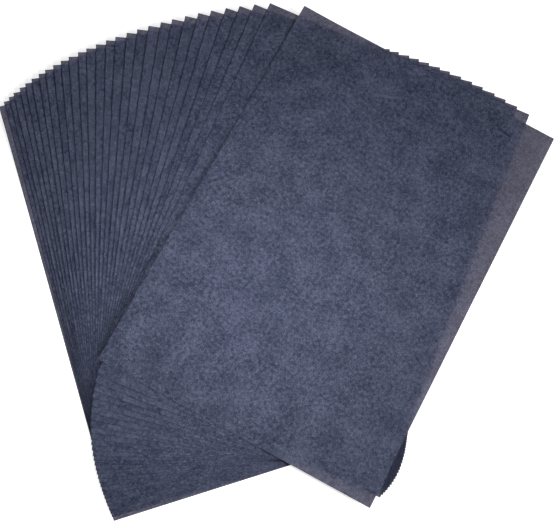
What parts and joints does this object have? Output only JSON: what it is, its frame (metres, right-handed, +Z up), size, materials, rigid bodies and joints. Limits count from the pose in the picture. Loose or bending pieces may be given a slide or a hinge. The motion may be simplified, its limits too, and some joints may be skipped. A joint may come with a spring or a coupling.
{
  "type": "fan of carbon transfer paper",
  "caption": "Loose pile of dark navy carbon transfer paper sheets, fanned about one centre near the bottom edge, for tracing patterns onto cloth, paper or wood.",
  "frame": {"origin": "centre that all sheets turn about, on the underside of the bottom sheet", "axes": "+Y along the long side of the bottom sheet, from the fan's centre outwards; +X to the right across it; +Z up, from the bottom sheet to the top sheet"},
  "size_m": [0.4192, 0.412, 0.0043],
  "materials": {
    "carbon_paper": "matte"
  },
  "bodies": {
    "bottom_sheet": {"bottom_sheet": "carbon_paper"},
    "sheet_02": {"sheet_02": "carbon_paper"},
    "sheet_03": {"sheet_03": "carbon_paper"},
    "sheet_04": {"sheet_04": "carbon_paper"},
    "sheet_05": {"sheet_05": "carbon_paper"},
    "sheet_06": {"sheet_06": "carbon_paper"},
    "sheet_07": {"sheet_07": "carbon_paper"},
    "sheet_08": {"sheet_08": "carbon_paper"},
    "sheet_09": {"sheet_09": "carbon_paper"},
    "sheet_10": {"sheet_10": "carbon_paper"},
    "sheet_11": {"sheet_11": "carbon_paper"},
    "sheet_12": {"sheet_12": "carbon_paper"},
    "sheet_13": {"sheet_13": "carbon_paper"},
    "sheet_14": {"sheet_14": "carbon_paper"},
    "sheet_15": {"sheet_15": "carbon_paper"},
    "sheet_16": {"sheet_16": "carbon_paper"},
    "sheet_17": {"sheet_17": "carbon_paper"},
    "sheet_18": {"sheet_18": "carbon_paper"},
    "sheet_19": {"sheet_19": "carbon_paper"},
    "sheet_20": {"sheet_20": "carbon_paper"},
    "sheet_21": {"sheet_21": "carbon_paper"},
    "sheet_22": {"sheet_22": "carbon_paper"},
    "sheet_23": {"sheet_23": "carbon_paper"},
    "sheet_24": {"sheet_24": "carbon_paper"},
    "sheet_25": {"sheet_25": "carbon_paper"},
    "sheet_26": {"sheet_26": "carbon_paper"},
    "sheet_27": {"sheet_27": "carbon_paper"},
    "sheet_28": {"sheet_28": "carbon_paper"},
    "sheet_29": {"sheet_29": "carbon_paper"},
    "top_sheet": {"top_sheet": "carbon_paper"}
  },
  "joints": [
    {"name": "sheet_02_turn", "type": "hinge", "parent": "bottom_sheet", "child": "sheet_02", "pos_m": [0, 0, 0], "axis": [0, 0, 1], "range_deg": [-0.43, 0.86]},
    {"name": "sheet_03_turn", "type": "hinge", "parent": "bottom_sheet", "child": "sheet_03", "pos_m": [0, 0, 0], "axis": [0, 0, 1], "range_deg": [-0.86, 1.73]},
    {"name": "sheet_04_turn", "type": "hinge", "parent": "bottom_sheet", "child": "sheet_04", "pos_m": [0, 0, 0], "axis": [0, 0, 1], "range_deg": [-1.25, 2.53]},
    {"name": "sheet_05_turn", "type": "hinge", "parent": "bottom_sheet", "child": "sheet_05", "pos_m": [0, 0, 0], "axis": [0, 0, 1], "range_deg": [-1.78, 3.59]},
    {"name": "sheet_06_turn", "type": "hinge", "parent": "bottom_sheet", "child": "sheet_06", "pos_m": [0, 0, 0], "axis": [0, 0, 1], "range_deg": [-2.23, 4.5]},
    {"name": "sheet_07_turn", "type": "hinge", "parent": "bottom_sheet", "child": "sheet_07", "pos_m": [0, 0, 0], "axis": [0, 0, 1], "range_deg": [-2.74, 5.54]},
    {"name": "sheet_08_turn", "type": "hinge", "parent": "bottom_sheet", "child": "sheet_08", "pos_m": [0, 0, 0], "axis": [0, 0, 1], "range_deg": [-3.32, 6.7]},
    {"name": "sheet_09_turn", "type": "hinge", "parent": "bottom_sheet", "child": "sheet_09", "pos_m": [0, 0, 0], "axis": [0, 0, 1], "range_deg": [-3.82, 7.72]},
    {"name": "sheet_10_turn", "type": "hinge", "parent": "bottom_sheet", "child": "sheet_10", "pos_m": [0, 0, 0], "axis": [0, 0, 1], "range_deg": [-4.45, 8.99]},
    {"name": "sheet_11_turn", "type": "hinge", "parent": "bottom_sheet", "child": "sheet_11", "pos_m": [0, 0, 0], "axis": [0, 0, 1], "range_deg": [-5.05, 10.2]},
    {"name": "sheet_12_turn", "type": "hinge", "parent": "bottom_sheet", "child": "sheet_12", "pos_m": [0, 0, 0], "axis": [0, 0, 1], "range_deg": [-5.65, 11.41]},
    {"name": "sheet_13_turn", "type": "hinge", "parent": "bottom_sheet", "child": "sheet_13", "pos_m": [0, 0, 0], "axis": [0, 0, 1], "range_deg": [-6.35, 12.84]},
    {"name": "sheet_14_turn", "type": "hinge", "parent": "bottom_sheet", "child": "sheet_14", "pos_m": [0, 0, 0], "axis": [0, 0, 1], "range_deg": [-6.98, 14.11]},
    {"name": "sheet_15_turn", "type": "hinge", "parent": "bottom_sheet", "child": "sheet_15", "pos_m": [0, 0, 0], "axis": [0, 0, 1], "range_deg": [-7.7, 15.56]},
    {"name": "sheet_16_turn", "type": "hinge", "parent": "bottom_sheet", "child": "sheet_16", "pos_m": [0, 0, 0], "axis": [0, 0, 1], "range_deg": [-8.45, 17.07]},
    {"name": "sheet_17_turn", "type": "hinge", "parent": "bottom_sheet", "child": "sheet_17", "pos_m": [0, 0, 0], "axis": [0, 0, 1], "range_deg": [-9.14, 18.48]},
    {"name": "sheet_18_turn", "type": "hinge", "parent": "bottom_sheet", "child": "sheet_18", "pos_m": [0, 0, 0], "axis": [0, 0, 1], "range_deg": [-9.97, 20.14]},
    {"name": "sheet_19_turn", "type": "hinge", "parent": "bottom_sheet", "child": "sheet_19", "pos_m": [0, 0, 0], "axis": [0, 0, 1], "range_deg": [-10.74, 21.7]},
    {"name": "sheet_20_turn", "type": "hinge", "parent": "bottom_sheet", "child": "sheet_20", "pos_m": [0, 0, 0], "axis": [0, 0, 1], "range_deg": [-11.54, 23.32]},
    {"name": "sheet_21_turn", "type": "hinge", "parent": "bottom_sheet", "child": "sheet_21", "pos_m": [0, 0, 0], "axis": [0, 0, 1], "range_deg": [-12.43, 25.12]},
    {"name": "sheet_22_turn", "type": "hinge", "parent": "bottom_sheet", "child": "sheet_22", "pos_m": [0, 0, 0], "axis": [0, 0, 1], "range_deg": [-13.24, 26.75]},
    {"name": "sheet_23_turn", "type": "hinge", "parent": "bottom_sheet", "child": "sheet_23", "pos_m": [0, 0, 0], "axis": [0, 0, 1], "range_deg": [-14.16, 28.62]},
    {"name": "sheet_24_turn", "type": "hinge", "parent": "bottom_sheet", "child": "sheet_24", "pos_m": [0, 0, 0], "axis": [0, 0, 1], "range_deg": [-15.08, 30.47]},
    {"name": "sheet_25_turn", "type": "hinge", "parent": "bottom_sheet", "child": "sheet_25", "pos_m": [0, 0, 0], "axis": [0, 0, 1], "range_deg": [-15.97, 32.28]},
    {"name": "sheet_26_turn", "type": "hinge", "parent": "bottom_sheet", "child": "sheet_26", "pos_m": [0, 0, 0], "axis": [0, 0, 1], "range_deg": [-16.99, 34.33]},
    {"name": "sheet_27_turn", "type": "hinge", "parent": "bottom_sheet", "child": "sheet_27", "pos_m": [0, 0, 0], "axis": [0, 0, 1], "range_deg": [-17.93, 36.23]},
    {"name": "sheet_28_turn", "type": "hinge", "parent": "bottom_sheet", "child": "sheet_28", "pos_m": [0, 0, 0], "axis": [0, 0, 1], "range_deg": [-18.94, 38.27]},
    {"name": "fan_spread", "type": "hinge", "parent": "bottom_sheet", "child": "sheet_29", "pos_m": [0, 0, 0], "axis": [0, 0, 1], "range_deg": [-20, 40.42]},
    {"name": "top_sheet_turn", "type": "hinge", "parent": "bottom_sheet", "child": "top_sheet", "pos_m": [0, 0, 0], "axis": [0, 0, 1], "range_deg": [-45, 45.6]}
  ],
  "couplings": [
    {"joint": "sheet_02_turn", "follows": "fan_spread", "ratio": 0.021249},
    {"joint": "sheet_03_turn", "follows": "fan_spread", "ratio": 0.042731},
    {"joint": "sheet_04_turn", "follows": "fan_spread", "ratio": 0.062653},
    {"joint": "sheet_05_turn", "follows": "fan_spread", "ratio": 0.088719},
    {"joint": "sheet_06_turn", "follows": "fan_spread", "ratio": 0.11136},
    {"joint": "sheet_07_turn", "follows": "fan_spread", "ratio": 0.13698},
    {"joint": "sheet_08_turn", "follows": "fan_spread", "ratio": 0.16571},
    {"joint": "sheet_09_turn", "follows": "fan_spread", "ratio": 0.19095},
    {"joint": "sheet_10_turn", "follows": "fan_spread", "ratio": 0.2223},
    {"joint": "sheet_11_turn", "follows": "fan_spread", "ratio": 0.25221},
    {"joint": "sheet_12_turn", "follows": "fan_spread", "ratio": 0.28221},
    {"joint": "sheet_13_turn", "follows": "fan_spread", "ratio": 0.31759},
    {"joint": "sheet_14_turn", "follows": "fan_spread", "ratio": 0.34902},
    {"joint": "sheet_15_turn", "follows": "fan_spread", "ratio": 0.38498},
    {"joint": "sheet_16_turn", "follows": "fan_spread", "ratio": 0.42228},
    {"joint": "sheet_17_turn", "follows": "fan_spread", "ratio": 0.45714},
    {"joint": "sheet_18_turn", "follows": "fan_spread", "ratio": 0.49833},
    {"joint": "sheet_19_turn", "follows": "fan_spread", "ratio": 0.53671},
    {"joint": "sheet_20_turn", "follows": "fan_spread", "ratio": 0.57699},
    {"joint": "sheet_21_turn", "follows": "fan_spread", "ratio": 0.62135},
    {"joint": "sheet_22_turn", "follows": "fan_spread", "ratio": 0.66186},
    {"joint": "sheet_23_turn", "follows": "fan_spread", "ratio": 0.70804},
    {"joint": "sheet_24_turn", "follows": "fan_spread", "ratio": 0.75379},
    {"joint": "sheet_25_turn", "follows": "fan_spread", "ratio": 0.79858},
    {"joint": "sheet_26_turn", "follows": "fan_spread", "ratio": 0.84929},
    {"joint": "sheet_27_turn", "follows": "fan_spread", "ratio": 0.89631},
    {"joint": "sheet_28_turn", "follows": "fan_spread", "ratio": 0.94693}
  ]
}
